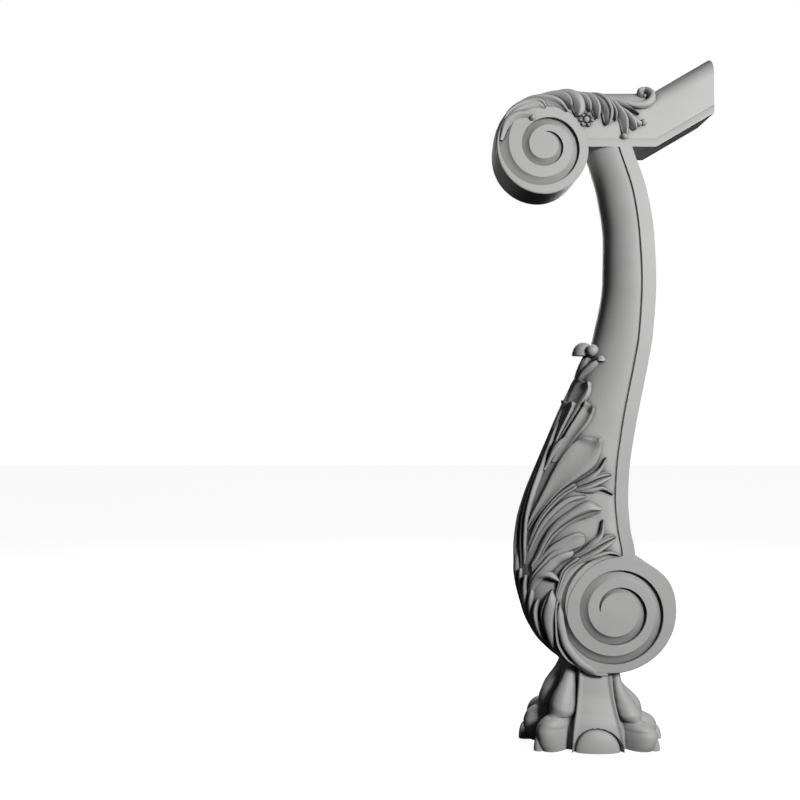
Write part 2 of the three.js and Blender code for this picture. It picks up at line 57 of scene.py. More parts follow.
def soft_lamp(name, place, aim, size, watts):
    lamp = bpy.data.objects.new(name, bpy.data.lights.new(name, "AREA"))
    scene.collection.objects.link(lamp)
    lamp.location = place
    lamp.rotation_euler = (Vector(aim) - Vector(place)).to_track_quat("-Z", "Y").to_euler()
    lamp.data.size = size
    lamp.data.energy = watts


soft_lamp("key_lamp", place=(0.90, -1.75, 1.12), aim=(0.0, 0.0, 0.55), size=0.45, watts=41)
soft_lamp("back_lamp", place=(0.1, 1.5, 1.2), aim=(0.0, 0.0, 0.5), size=0.9, watts=22)
soft_lamp("outer_lamp", place=(-2.2, 0.5, 0.9), aim=(0.0, 0.0, 0.5), size=1.2, watts=1.2)

world = bpy.data.worlds.new("studio")
scene.world = world
world.use_nodes = True
sky = world.node_tree
white = sky.nodes["Background"]
white.inputs["Color"].default_value = (1, 1, 1, 1)
white.inputs["Strength"].default_value = 1.0
dim = sky.nodes.new("ShaderNodeBackground")
dim.inputs["Color"].default_value = (0.95, 0.97, 1, 1)
dim.inputs["Strength"].default_value = 0.015
seen = sky.nodes.new("ShaderNodeLightPath")
either = sky.nodes.new("ShaderNodeMixShader")
sky.links.new(seen.outputs["Is Camera Ray"], either.inputs["Fac"])
sky.links.new(dim.outputs["Background"], either.inputs[1])
sky.links.new(white.outputs["Background"], either.inputs[2])
sky.links.new(either.outputs["Shader"], sky.nodes["World Output"].inputs["Surface"])

floor_half = 6.0
floor_height = -0.001
floor_mesh = bpy.data.meshes.new("floor")
square = ((-1, -1), (1, -1), (1, 1), (-1, 1))
corners = [(x * floor_half, y * floor_half, floor_height) for x, y in square]
floor_mesh.from_pydata(corners, [], [(0, 1, 2, 3)])
floor = bpy.data.objects.new("floor", floor_mesh)
scene.collection.objects.link(floor)
pale = bpy.data.materials.new("pale_floor")
pale.use_nodes = True
sheet = pale.node_tree
pale_surface = sheet.nodes["Principled BSDF"]
pale_surface.inputs["Roughness"].default_value = 0.9
pale_surface.inputs["Specular IOR Level"].default_value = 0
pale_surface.inputs["Emission Color"].default_value = (0.94, 0.94, 0.94, 1)
direct = sheet.nodes.new("ShaderNodeLightPath")
paler = sheet.nodes.new("ShaderNodeMix")
paler.data_type = "RGBA"
paler.inputs["A"].default_value = (0, 0, 0, 1)
paler.inputs["B"].default_value = (0.3, 0.3, 0.3, 1)
sheet.links.new(direct.outputs["Is Camera Ray"], paler.inputs["Factor"])
sheet.links.new(paler.outputs["Result"], pale_surface.inputs["Base Color"])
sheet.links.new(direct.outputs["Is Camera Ray"], pale_surface.inputs["Emission Strength"])
floor_mesh.materials.append(pale)

# Satin grey paint over carved timber
# One brushed coat covers all three pieces. Painted shade darkens the hollows of the carving towards near
# black; the coat clouds a little in tone and gloss, and a faint open grain of the timber prints through it.


def paint_effect():
    """Node group: colour, roughness and height of the brushed coat, from Object coordinates, with painted
    shade in the hollows.
    """
    group = bpy.data.node_groups.new("brushed_coat", "ShaderNodeTree")
    socket = group.interface.new_socket
    socket("Position", in_out="INPUT", socket_type="NodeSocketVector")
    socket("Paint", in_out="INPUT", socket_type="NodeSocketColor")
    socket("Painted shade", in_out="INPUT", socket_type="NodeSocketColor")
    socket("Hollow reach", in_out="INPUT", socket_type="NodeSocketFloat")
    socket("Colour", in_out="OUTPUT", socket_type="NodeSocketColor")
    socket("Roughness", in_out="OUTPUT", socket_type="NodeSocketFloat")
    socket("Height", in_out="OUTPUT", socket_type="NodeSocketFloat")
    node = group.nodes.new
    link = group.links.new
    given = node("NodeGroupInput")
    result = node("NodeGroupOutput")

    grain_space = node("ShaderNodeMapping")
    grain_space.inputs["Scale"].default_value = (1, 1, 0.09)
    link(given.outputs["Position"], grain_space.inputs["Vector"])
    grain = node("ShaderNodeTexNoise")
    grain.inputs["Scale"].default_value = 420
    grain.inputs["Detail"].default_value = 3
    link(grain_space.outputs["Vector"], grain.inputs["Vector"])
    cloud = node("ShaderNodeTexNoise")
    cloud.inputs["Scale"].default_value = 16
    cloud.inputs["Detail"].default_value = 4
    link(given.outputs["Position"], cloud.inputs["Vector"])

    # Painted shade: where the carving closes in round a point, its colour is drawn towards a near-black
    # colour, standing in for the shade that falls in the hollows.
    hollow = node("ShaderNodeAmbientOcclusion")
    hollow.samples = 6
    hollow.only_local = True
    link(given.outputs["Hollow reach"], hollow.inputs["Distance"])
    painted_shade_mask = node("ShaderNodeMapRange")
    painted_shade_mask.inputs["From Min"].default_value = 0.35
    painted_shade_mask.inputs["From Max"].default_value = 0.85
    painted_shade_mask.inputs["To Min"].default_value = 0.9
    painted_shade_mask.inputs["To Max"].default_value = 0
    link(hollow.outputs["AO"], painted_shade_mask.inputs["Value"])

    shade = node("ShaderNodeMapRange")
    shade.inputs["From Min"].default_value = 0.3
    shade.inputs["From Max"].default_value = 0.7
    shade.inputs["To Min"].default_value = 0.94
    shade.inputs["To Max"].default_value = 1.04
    link(cloud.outputs["Fac"], shade.inputs["Value"])
    tinted = node("ShaderNodeMix")
    tinted.data_type = "RGBA"
    tinted.blend_type = "MULTIPLY"
    tinted.inputs["Factor"].default_value = 1
    link(given.outputs["Paint"], tinted.inputs["A"])
    link(shade.outputs["Result"], tinted.inputs["B"])
    coat = node("ShaderNodeMix")
    coat.data_type = "RGBA"
    link(painted_shade_mask.outputs["Result"], coat.inputs["Factor"])
    link(tinted.outputs["Result"], coat.inputs["A"])
    link(given.outputs["Painted shade"], coat.inputs["B"])
    link(coat.outputs["Result"], result.inputs["Colour"])

    satin = node("ShaderNodeMapRange")
    satin.inputs["To Min"].default_value = 0.42
    satin.inputs["To Max"].default_value = 0.6
    link(cloud.outputs["Fac"], satin.inputs["Value"])
    link(satin.outputs["Result"], result.inputs["Roughness"])
    link(grain.outputs["Fac"], result.inputs["Height"])
    return group


brushed_coat = paint_effect()


def painted(name, grain_depth):
    """The coat as one piece's own material; grain_depth is how strongly the timber prints through."""
    material = bpy.data.materials.new(name)
    material.use_nodes = True
    tree = material.node_tree
    surface = tree.nodes["Principled BSDF"]
    surface.inputs["Specular IOR Level"].default_value = 0.35
    place = tree.nodes.new("ShaderNodeTexCoord")
    coat = tree.nodes.new("ShaderNodeGroup")
    coat.node_tree = brushed_coat
    coat.inputs["Paint"].default_value = (0.5, 0.5, 0.495, 1)
    # The near-black colour of the painted shade in the hollows of the carving.
    coat.inputs["Painted shade"].default_value = (0.05, 0.05, 0.05, 1)
    coat.inputs["Hollow reach"].default_value = 0.012
    bump = tree.nodes.new("ShaderNodeBump")
    bump.inputs["Strength"].default_value = grain_depth
    bump.inputs["Distance"].default_value = 0.0004
    tree.links.new(place.outputs["Object"], coat.inputs["Position"])
    tree.links.new(coat.outputs["Colour"], surface.inputs["Base Color"])
    tree.links.new(coat.outputs["Roughness"], surface.inputs["Roughness"])
    tree.links.new(coat.outputs["Height"], bump.inputs["Height"])
    tree.links.new(bump.outputs["Normal"], surface.inputs["Normal"])
    return material


# S-curved post with its low scroll
# One block of timber: a back strip with a fine groove beside it, a rounded front, and at its foot a
# scroll sunk with a spiral channel. Acanthus lobes climb its front to a curled head.
rail_underside = 0.8707
post_width_top = 0.080
post_width_bottom = 0.1112
strip_groove = 0.0026
low_scroll_out = 0.0253
low_scroll_height = 0.199
low_scroll_radius = 0.088
scroll_crest_rise = 0.080
scroll_crest = low_scroll_height + scroll_crest_rise
low_eye_radius = 0.0231
low_eye_offset = (0.0025, 0.0006)
low_channel_growth = 1.772
low_channel_width = 0.0124
low_channel_depth = 0.0068
low_channel_turns = 2.2
disc_proud = 0.0006
rim_easing = 0.0012
post_foot = 0.108
roundness = 2.1
leaf_root = 0.005  # how deep a lobe's edges are sunk in the ground
NEAR = -1
FAR = 1
BOTH_FACES = (NEAR, FAR)

# Side view by height: back edge, groove line, and front under the leaf.
post_rows = [
    (post_foot, 0.015, 0.004, -0.022),
    (0.130, 0.015, -0.022, -0.055),
    (0.160, 0.015, -0.038, -0.080),
    (0.200, 0.020, -0.036, -0.097),
    (0.250, 0.040, -0.005, -0.106),
    (0.280, 0.0545, 0.035, -0.106),
    (0.320, 0.0477, 0.0288, -0.102),
    (0.360, 0.0449, 0.0256, -0.091),
    (0.400, 0.0466, 0.0274, -0.075),
    (0.440, 0.0519, 0.0324, -0.058),
    (0.480, 0.0592, 0.0388, -0.041),
    (0.520, 0.0674, 0.0468, -0.022),
    (0.560, 0.0755, 0.055, -0.006),
    (0.600, 0.0822, 0.0618, 0.0058),
    (0.680, 0.0875, 0.0664, 0.0194),
    (0.740, 0.0852, 0.0637, 0.020),
    (0.800, 0.0766, 0.0557, 0.0124),
    (rail_underside, 0.054, 0.034, -0.007),
]
BACK, GROOVE, FRONT = 1, 2, 3


def eased(rows):
    """Smooth curve through a table's rows by their first column, which never overshoots a row."""
    table = np.array(rows, float)
    keys = table[:, 0]
    rise = np.diff(table, axis=0) / np.diff(keys)[:, None]
    product = rise[:-1] * rise[1:]
    total = np.where(product > 0, rise[:-1] + rise[1:], 1)
    inner = np.where(product > 0, 2 * product / total, 0)
    slopes = np.vstack([rise[:1], inner, rise[-1:]])

    def at(key, column):
        key = np.clip(key, keys[0], keys[-1])
        i = np.clip(np.searchsorted(keys, key, side="right") - 1, 0, len(keys) - 2)
        span = keys[i + 1] - keys[i]
        t = (key - keys[i]) / span
        a, b = table[i, column], table[i + 1, column]
        straight = (b - a) / span
        bend = (1 - t) * (slopes[i, column] - straight) - t * (slopes[i + 1, column] - straight)
        return a + (b - a) * t + span * t * (1 - t) * bend

    return at


post_line = eased(post_rows)


def post_half_width(height):
    """Half the post's width across its two carved faces, which widens down to the low scroll."""
    share = np.clip((rail_underside - height) / (rail_underside - scroll_crest), 0, 1)
    return (post_width_top + (post_width_bottom - post_width_top) * share) / 2


def post_surface(height, share, face):
    """Points on the post's side: share 0 at the groove, 1 on the front line, past 1 on the other side."""
    angle = np.clip(share, -0.9, 1.9) * math.pi / 2
    groove = post_line(height, GROOVE)
    front = post_line(height, FRONT)
    x = groove - (groove - front) * np.sign(angle) * np.abs(np.sin(angle)) ** (2 / roundness)
    y = post_half_width(height) * np.sign(np.cos(angle)) * np.abs(np.cos(angle)) ** (2 / roundness)
    return np.stack([x, face * y, height + 0 * x], axis=-1)


def solid_piece(name, corners, faces):
    """A closed solid as an object, with its faces turned outwards."""
    corners = np.asarray(corners, float)
    mesh = bpy.data.meshes.new(name)
    mesh.from_pydata(corners.tolist(), [], faces)
    fans = [(f[0], f[k], f[k + 1]) for f in faces for k in range(1, len(f) - 1)]
    a, b, c = (corners[[fan[k] for fan in fans]] for k in range(3))
    if np.einsum("ij,ij->i", a, np.cross(b, c)).sum() < 0:
        mesh.flip_normals()
    piece = bpy.data.objects.new(name, mesh)
    scene.collection.objects.link(piece)
    return piece


def closed_skin(name, rings):
    """A closed skin through rings of equal length, with a fan over each end."""
    rings = np.asarray(rings, float)
    count, size = rings.shape[:2]
    corners = np.vstack([rings.reshape(-1, 3), rings[0].mean(0), rings[-1].mean(0)])
    last = (count - 1) * size
    faces = []
    for k in range(size):
        n = (k + 1) % size
        for this in range(0, last, size):
            after = this + size
            faces.append((this + k, this + n, after + n, after + k))
        faces.append((count * size, n, k))
        faces.append((count * size + 1, last + k, last + n))
    return solid_piece(name, corners, faces)


def joined(body, tools, operation):
    """The body with other solids added to it or cut from it; the tools are used up."""
    group = bpy.data.collections.new("tools")
    scene.collection.children.link(group)
    for tool in tools:
        scene.collection.objects.unlink(tool)
        group.objects.link(tool)
    cutter = body.modifiers.new("tools", "BOOLEAN")
    cutter.solver = "MANIFOLD"
    cutter.operation = operation
    cutter.operand_type = "COLLECTION"
    cutter.collection = group
    made = bpy.data.meshes.new_from_object(body.evaluated_get(bpy.context.evaluated_depsgraph_get()))
    body.modifiers.clear()
    body.data = made
    for tool in tools:
        bpy.data.objects.remove(tool)
    bpy.data.collections.remove(group)
    return body


def along_route(route, t):
    """Smooth curve through a route's points."""
    points = np.array(route, float)
    points = np.vstack([2 * points[0] - points[1], points, 2 * points[-1] - points[-2]])
    spans = len(route) - 1
    i = np.clip((t * spans).astype(int), 0, spans - 1)
    u = (t * spans - i)[:, None]
    p0, p1, p2, p3 = (points[i + k] for k in range(4))
    bend = 2 * p0 - 5 * p1 + 4 * p2 - p3
    twist = 3 * p1 - p0 - 3 * p2 + p3
    return 0.5 * (2 * p1 + (p2 - p0) * u + bend * u**2 + twist * u**3)


# Stations across a lobe, from its left to its right edge. The first and the last are the sunk edges.
ACROSS = np.array([
    -1, -1, -0.96, -0.86, -0.7, -0.52, -0.34, -0.16, 0, 0.16, 0.34, 0.52, 0.7, 0.86, 0.96, 1, 1,
])
SHORT_STEP = 1e-3


def cross_section(cup=0.0, lean=0.0, crest=None, furrows=()):
    """Height across a lobe as a share of its thickness: a cushion, or with cup a hollow between two
    rims. lean raises its right side, crest moves its ridge off the middle and gives it one long
    flank, and furrows are fine grooves by their place across."""
    q = ACROSS
    cushion, box, long_flank = 2.3, 8, 1.25
    cup_half_width = 0.8
    furrow_depth, furrow_half_width = 0.34, 0.13
    lowest = 0.1
    if crest is not None:
        short = np.sqrt(np.clip(1 - np.clip((crest - q) / (1 + crest), 0, 1) ** cushion, 0, 1))
        high = np.where(q < crest, short, 1 - np.clip((q - crest) / (1 - crest), 0, 1) ** long_flank)
    elif cup > 0:
        hollow = cup * np.clip(1 - (q / cup_half_width) ** 2, 0, 1)
        high = np.sqrt(np.clip(1 - np.abs(q) ** box, 0, 1)) * (1 - hollow)
    else:
        high = np.sqrt(np.clip(1 - np.abs(q) ** cushion, 0, 1))
    high = high * (1 + lean * q)
    for place in furrows:
        high = high - furrow_depth * np.exp(-(((q - place) / furrow_half_width) ** 2))
    return np.maximum(high, lowest)


def short_moves(surface, a, b, face):
    """How far the surface's points move over a short step each way, by each of its two measures."""
    by_a = surface(a + SHORT_STEP, b, face) - surface(a - SHORT_STEP, b, face)
    by_b = surface(a, b + SHORT_STEP, face) - surface(a, b - SHORT_STEP, face)
    return by_a, by_b


def closer_to_tip(steps):
    """Stations along a lobe from its root at 0 to its tip at 1, closer together near the tip."""
    return 1 - (1 - np.linspace(0, 1, steps)) ** 1.5


def laid_on(surface, face, left, right, high):
    """A solid whose sections reach from a left to a right edge over a surface, sunk at both edges."""
    q = (ACROSS + 1) / 2
    a = left[:, :1] + (right - left)[:, :1] * q
    b = left[:, 1:] + (right - left)[:, 1:] * q
    out = np.cross(*short_moves(surface, a, b, face))
    out /= np.linalg.norm(out, axis=-1)[..., None]
    out *= np.sign((out[..., 1] * face).mean()) or 1
    rise = np.array(high)
    rise[:, 0] = rise[:, -1] = -leaf_root
    return closed_skin("lobe", surface(a, b, face) + out * rise[..., None])


def leaf_lobe(surface, face, route, width, thick=0.008, root=0.35, lift=0.0, round_from=0.6, point=False,
              steps=24, **look):
    """One lobe carved on a surface along a route. root is its width at the root as a share, from
    round_from on it closes to a round or a pointed tip, and lift bends that tip off the ground."""
    t = closer_to_tip(steps)
    a, b = along_route(route, t).T
    near_by = 0.02
    ahead = along_route(route, np.clip(t + near_by, 0, 1))
    behind = along_route(route, np.clip(t - near_by, 0, 1))
    along = surface(ahead[:, 0], ahead[:, 1], face) - surface(behind[:, 0], behind[:, 1], face)
    along /= np.linalg.norm(along, axis=1)[:, None]
    by_a, by_b = (move / (2 * SHORT_STEP) for move in short_moves(surface, a, b, face))
    normal = np.cross(by_a, by_b)
    normal *= (np.sign(normal[:, 1] * face) + (normal[:, 1] == 0))[:, None]
    across = np.cross(along, normal) * -face
    across /= np.linalg.norm(across, axis=1)[:, None]
    aa, ab, bb = (np.einsum("ij,ij->i", p, q) for p, q in ((by_a, by_a), (by_a, by_b), (by_b, by_b)))
    ca, cb = np.einsum("ij,ij->i", across, by_a), np.einsum("ij,ij->i", across, by_b)
    whole = aa * bb - ab * ab
    sideways = np.stack([(ca * bb - cb * ab) / whole, (cb * aa - ca * ab) / whole], axis=1)

    beyond = np.clip((t - round_from) / (1 - round_from), 0, 1)
    closing = 1 - beyond * 0.93 if point else np.sqrt(1 - 0.985 * beyond**2)
    spreading = np.sin(np.minimum(1, t / round_from) * math.pi / 2)
    half = width / 2 * (root + (1 - root) * spreading) * closing
    full_from = 0.55
    rising = np.sin(np.minimum(1, t / full_from) * math.pi / 2)
    high = thick * (0.1 + 0.9 * rising) * np.sqrt(1 - 0.6 * beyond**2)
    spine = np.stack([a, b], axis=1)
    rise = high[:, None] * cross_section(**look) + (lift * t**3)[:, None]
    edge = sideways * half[:, None]
    return laid_on(surface, face, spine - edge, spine + edge, rise)


def leaf_blade(surface, face, left, right, thick=0.009, roll=0.0, closes=False, steps=28, **look):
    """A broad lobe between its own left and right edges; roll turns up its end as a rim, and closes
    lets it die down where the two edges meet."""
    t = closer_to_tip(steps)
    high = thick * (0.3 + 0.7 * np.sin(t * math.pi / 2))
    if closes:
        high = high * np.sqrt(1 - 0.85 * np.clip((t - 0.75) / 0.25, 0, 1) ** 2)
    rim = roll * np.clip((t - 0.86) / 0.1, 0, 1)
    rise = high[:, None] * cross_section(**look) + rim[:, None]
    return laid_on(surface, face, along_route(left, t), along_route(right, t), rise)


def knob(centre, radii, rows=12, columns=22, flat=1.0):
    """A rounded ball, as at the tip of a curl; flat 0.5 leaves only its domed upper half."""
    rings = []
    for k in range(1, rows):
        down = math.pi * flat * k / (rows - 1 if flat < 1 else rows)
        turn = np.arange(columns) / columns * 2 * math.pi
        ring = [np.sin(down) * np.cos(turn), np.sin(down) * np.sin(turn), np.cos(down) + 0 * turn]
        rings.append(np.stack(ring, axis=-1) * radii + np.asarray(centre))
    return closed_skin("knob", rings)


def opened(turn):
    """How far a scroll's channel has opened out, over its first half turn."""
    return np.clip((turn + 0.01) / 0.5, 0, 1) ** 0.7


def round_scroll(centre, angle, radius, y):
    """Points at an angle and a radius round a scroll's centre, y from the post's middle plane."""
    x = centre[0] + radius * np.cos(angle)
    z = centre[1] + radius * np.sin(angle)
    return np.stack(np.broadcast_arrays(x, y, z), axis=-1)


def spiral_channel(centre, face, face_out, depth, edges, turns, begins):
    """A channel that winds out clockwise on a scroll's face: it falls in a cove from its inner edge
    and stops at an upright outer wall. Turns count from its start, begins turns past the top."""
    steps_in_a_turn = 76
    turn = np.linspace(0, turns, int(steps_in_a_turn * turns))
    angle = math.pi / 2 - (turn + begins) * 2 * math.pi
    inner, outer = edges(turn)
    deep = depth * np.sqrt(opened(turn))
    clear_of_face = face_out + 0.002
    cove, wall_foot = 2.2, 0.98
    section = [(inner, clear_of_face)]
    for share in np.linspace(0, 1, 10):
        y = face_out - deep * (1 - (1 - share) ** cove)
        section.append((inner + (outer - inner) * share * wall_foot, y))
    section.append((outer, face_out - deep))
    section.append((outer, clear_of_face))
    rings = [round_scroll(centre, angle, r, face * y) for r, y in section]
    return closed_skin("channel", np.stack(rings, axis=1))


def scroll_disc(name, centre, half_width, radius_at):
    """The drum of a scroll, with its rims eased by hand."""
    segments = 144
    degrees = np.arange(segments) / segments * 360
    angle = np.radians(degrees)
    radius = radius_at(degrees)
    rings = []
    for face, less in ((NEAR, rim_easing), (NEAR, 0), (FAR, 0), (FAR, rim_easing)):
        side = half_width if less else half_width - rim_easing
        rings.append(round_scroll(centre, angle, radius - less, face * side))
    return closed_skin(name, rings)


def smooth_but_for_edges(piece, degrees=32):
    """Smooth shading, with every corner sharper than the angle left crisp."""
    mesh = bmesh.new()
    mesh.from_mesh(piece.data)
    bmesh.ops.remove_doubles(mesh, verts=mesh.verts, dist=1e-6)
    limit = math.radians(degrees)
    for edge in mesh.edges:
        edge.smooth = len(edge.link_faces) != 2 or edge.calc_face_angle(0) < limit
    for one in mesh.faces:
        one.smooth = True
    mesh.to_mesh(piece.data)
    mesh.free()


def post_shaft():
    """The plain post as one skin, each ring a back strip, its groove and the rounded front."""
    closer_from = 0.300
    low = np.arange(post_foot, closer_from, 0.006)
    high = np.linspace(closer_from, rail_underside, 110)
    groove_starts = scroll_crest - 0.02
    no_groove = 0.0002
    share = np.linspace(0.02, 1, 26)
    rings = []
    for height in np.concatenate([low, high]):
        half = post_half_width(height)
        back = post_line(height, BACK)
        groove = post_line(height, GROOVE)
        deep = strip_groove if height > groove_starts else no_groove
        for_side = {}
        for face in BOTH_FACES:
            strip = [
                (back, face * (half - rim_easing), height),
                (back - rim_easing, face * half, height),
                (groove + deep * 0.6, face * half, height),
                (groove, face * (half - deep), height),
            ]
            for_side[face] = strip + post_surface(height, share, face).tolist()
        rings.append(for_side[NEAR] + for_side[FAR][:-1][::-1])
    return closed_skin("scroll_post_carved", rings)


# The low scroll's outline: degrees up from the rail side, and its radius as a share of the scroll's.
low_disc_shares = eased([
    (0, 1.0), (25, 1.015), (56, 0.955), (92, 0.9), (120, 0.83), (150, 0.79), (180, 0.79),
    (215, 0.93), (240, 1.05), (268, 1.0), (300, 0.98), (330, 0.99), (360, 1.0),
])


def low_disc_radius(degrees):
    return low_scroll_radius * low_disc_shares(degrees, 1)


low_centre = (low_scroll_out, low_scroll_height)
low_face_out = post_width_bottom / 2 + disc_proud
post = post_shaft()
post = joined(post, [scroll_disc("low_disc", low_centre, low_face_out, low_disc_radius)], "UNION")


def low_channel_edges(turn):
    """Inner and outer radius of the low scroll's channel, which narrows over its last third of a turn."""
    inner = low_eye_radius * low_channel_growth**turn
    narrowing = 1 - 0.8 * np.clip((turn - 1.85) / 0.35, 0, 1)
    return inner, inner + low_channel_width * opened(turn) * narrowing


low_eye = (low_centre[0] + low_eye_offset[0], low_centre[1] + low_eye_offset[1])
low_channels = [
    spiral_channel(low_eye, face, low_face_out, low_channel_depth, low_channel_edges, low_channel_turns,
                   begins=0.75)
    for face in BOTH_FACES
]
post = joined(post, low_channels, "DIFFERENCE")

# Narrow lobes of one flank, from root to tip, by height and share from the groove to the front line.
flank_lobes = [
    ([(0.400, 0.79), (0.433, 0.70), (0.450, 0.59)], dict(width=0.010, point=True)),
    ([(0.255, 0.88), (0.300, 0.88), (0.360, 0.90), (0.440, 0.93), (0.500, 0.96), (0.533, 0.97)],
     dict(width=0.0065, thick=0.007, root=0.8, round_from=0.95, steps=50)),
    ([(0.262, 0.80), (0.310, 0.80), (0.360, 0.82), (0.420, 0.86), (0.470, 0.90)],
     dict(width=0.007, thick=0.007, root=0.7, round_from=0.9, steps=40)),
    ([(0.291, 0.73), (0.334, 0.59), (0.364, 0.45), (0.381, 0.32)],
     dict(width=0.010, thick=0.009, round_from=0.95, furrows=(0.1,))),
    ([(0.380, 0.33), (0.389, 0.22), (0.403, 0.14), (0.421, 0.10)],
     dict(width=0.011, thick=0.010, root=0.8, round_from=0.4, point=True, lift=0.002)),
    ([(0.376, 0.34), (0.382, 0.24), (0.391, 0.13), (0.396, 0.04)],
     dict(width=0.020, thick=0.013, root=0.55, round_from=0.5, furrows=(-0.45, 0.0, 0.4))),
    ([(0.375, 0.33), (0.374, 0.19), (0.377, 0.10), (0.368, 0.01)],
     dict(width=0.010, thick=0.009, root=0.8, round_from=0.4, point=True)),
    ([(0.280, 0.73), (0.326, 0.56), (0.356, 0.39), (0.365, 0.22)], dict(width=0.009, thick=0.006)),
    ([(0.241, 0.62), (0.279, 0.49), (0.297, 0.34), (0.306, 0.22)],
     dict(width=0.022, thick=0.009, cup=0.3, lift=0.003, round_from=0.8)),
    ([(0.218, 0.70), (0.254, 0.50), (0.275, 0.43), (0.286, 0.31)],
     dict(width=0.024, thick=0.013, round_from=0.75, furrows=(-0.4,))),
    ([(0.216, 0.25), (0.241, 0.27), (0.262, 0.29), (0.276, 0.26)],
     dict(width=0.010, thick=0.009, round_from=0.95, furrows=(0.1,))),
    ([(0.278, 0.29), (0.295, 0.18), (0.311, 0.11), (0.332, 0.09)],
     dict(width=0.012, thick=0.010, root=0.8, round_from=0.4, point=True, lift=0.002)),
    ([(0.273, 0.30), (0.285, 0.21), (0.298, 0.11), (0.308, 0.02)],
     dict(width=0.021, thick=0.013, root=0.55, round_from=0.5, furrows=(-0.45, 0.0, 0.4))),
    ([(0.271, 0.27), (0.279, 0.17), (0.285, 0.08), (0.281, 0.01)],
     dict(width=0.010, thick=0.009, root=0.8, round_from=0.4, point=True)),
    ([(0.232, 0.62), (0.247, 0.51), (0.251, 0.41), (0.243, 0.28)], dict(width=0.011, thick=0.012, root=0.6)),
    ([(0.112, 0.05), (0.128, 0.10), (0.152, 0.12), (0.185, 0.17), (0.212, 0.18)],
     dict(width=0.011, thick=0.008, root=0.8, round_from=0.85, point=True)),
    ([(0.118, 0.20), (0.130, 0.30), (0.151, 0.27), (0.184, 0.235), (0.216, 0.22)],
     dict(width=0.004, thick=0.008, root=0.8, round_from=0.9)),
    ([(0.135, 0.96), (0.170, 0.93), (0.215, 0.89), (0.255, 0.84)], dict(width=0.010, thick=0.006, root=0.6)),
    ([(0.130, 0.87), (0.167, 0.84), (0.210, 0.77), (0.247, 0.71)], dict(width=0.011, thick=0.008, root=0.6)),
    ([(0.126, 0.78), (0.164, 0.71), (0.199, 0.67), (0.227, 0.60)], dict(width=0.011, thick=0.008, root=0.6)),
    ([(0.132, 0.64), (0.162, 0.61), (0.195, 0.57), (0.216, 0.49)], dict(width=0.008, thick=0.009, root=0.6)),
    ([(0.501, 0.97), (0.531, 0.95), (0.553, 0.86), (0.572, 0.80)], dict(width=0.009, root=0.9, thick=0.008)),
    ([(0.506, 0.92), (0.536, 0.82), (0.551, 0.66), (0.560, 0.55)], dict(width=0.010, root=0.8, thick=0.009)),
]
# Broad lobes of one flank, each by its left and its right edge.
flank_blades = [
    ([(0.444, 0.82), (0.481, 0.90), (0.509, 0.96), (0.524, 0.89), (0.531, 0.74)],
     [(0.445, 0.72), (0.477, 0.60), (0.499, 0.53), (0.513, 0.50), (0.528, 0.55)],
     dict(cup=0.75, roll=0.002)),
    ([(0.399, 0.95), (0.451, 0.98), (0.482, 0.99), (0.499, 0.96)],
     [(0.400, 0.77), (0.453, 0.73), (0.480, 0.67), (0.497, 0.65)], dict(cup=0.8, roll=0.003)),
    ([(0.412, 0.71), (0.451, 0.64), (0.480, 0.56), (0.501, 0.50)],
     [(0.413, 0.58), (0.448, 0.45), (0.470, 0.36), (0.490, 0.34)], dict(cup=0.6, lean=0.1, roll=0.003)),
    ([(0.310, 0.80), (0.337, 0.73), (0.366, 0.66), (0.404, 0.61), (0.429, 0.55), (0.443, 0.47),
      (0.449, 0.36)],
     [(0.313, 0.74), (0.345, 0.58), (0.371, 0.45), (0.391, 0.30), (0.408, 0.18), (0.428, 0.16),
      (0.447, 0.175)],
     dict(thick=0.010, cup=0.5, lean=0.2, roll=0.004)),
    ([(0.270, 0.66), (0.319, 0.50), (0.343, 0.35), (0.358, 0.21), (0.349, 0.10)],
     [(0.252, 0.62), (0.298, 0.48), (0.325, 0.31), (0.335, 0.18), (0.343, 0.10)],
     dict(thick=0.015, closes=True, furrows=(0.3,))),
    ([(0.122, 0.66), (0.155, 0.52), (0.187, 0.50), (0.210, 0.42), (0.231, 0.33)],
     [(0.119, 0.50), (0.158, 0.31), (0.184, 0.26), (0.209, 0.22), (0.229, 0.31)],
     dict(thick=0.012, closes=True, furrows=(-0.5,))),
]
post_leaf = []
for route, look in flank_lobes:
    post_leaf += [leaf_lobe(post_surface, face, route, **look) for face in BOTH_FACES]
for left, right, look in flank_blades:
    post_leaf += [leaf_blade(post_surface, face, left, right, **look) for face in BOTH_FACES]
for face in BOTH_FACES:
    post_leaf.append(knob((0.0004, face * 0.021, 0.5755), (0.0095, 0.0095, 0.0095)))
    post_leaf.append(knob((0.0097, face * 0.034, 0.5600), (0.0068, 0.0075, 0.0085), flat=0.5))
# On the front line: the long rib, the stem of the head, and a bud on the belly of the post.
front_lobes = [
    ([(0.130, 1), (0.190, 1), (0.300, 1), (0.420, 1), (0.536, 1)],
     dict(width=0.013, root=0.6, thick=0.0085, round_from=0.97, steps=70)),
    ([(0.510, 1), (0.540, 1), (0.567, 1)], dict(width=0.022, root=0.8, thick=0.007)),
    ([(0.296, 1), (0.262, 1), (0.234, 1)], dict(width=0.022, lift=0.001)),
]
post_leaf += [leaf_lobe(post_surface, NEAR, route, **look) for route, look in front_lobes]
post_leaf.append(knob((-0.0100, 0, 0.5690), (0.0165, 0.0190, 0.0205), flat=0.5))
post = joined(post, post_leaf, "UNION")
smooth_but_for_edges(post)
post.data.materials.clear()
post.data.materials.append(painted("post_paint", 0.25))
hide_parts("scroll_post")
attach(post, "root")

